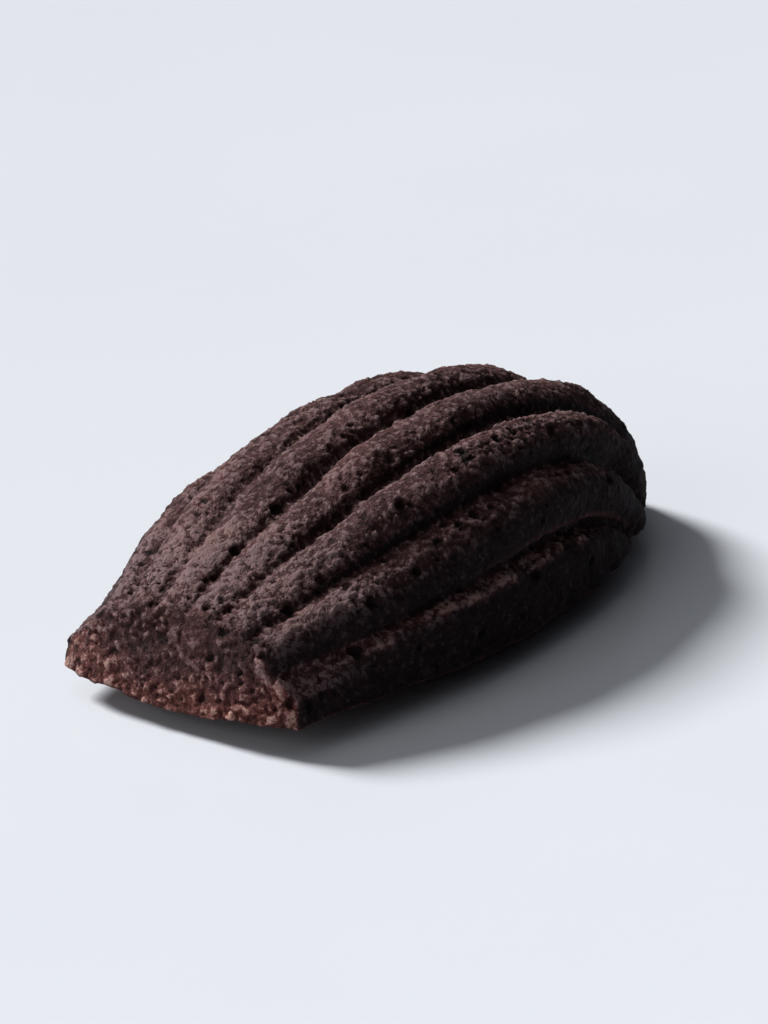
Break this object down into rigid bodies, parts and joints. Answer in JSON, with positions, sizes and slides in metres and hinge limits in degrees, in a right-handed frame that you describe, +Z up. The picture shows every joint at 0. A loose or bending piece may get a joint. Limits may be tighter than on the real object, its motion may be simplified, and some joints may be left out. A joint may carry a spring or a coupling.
{
  "type": "madeleine cake",
  "caption": "Chocolate madeleine: a small shell-shaped sponge cake with a ribbed domed top, a scalloped wide end and a flat narrow heel.",
  "frame": {"origin": "middle of the bottom of the bounding box, on the surface that the cake rests on", "axes": "+X along the length, from the narrow heel to the wide scalloped end; +Z up, out of the ribbed side"},
  "size_m": [0.0836, 0.0456, 0.0243],
  "materials": {
    "cocoa_crust": null
  },
  "bodies": {
    "root": {"madeleine_cake": "cocoa_crust"}
  },
  "joints": []
}
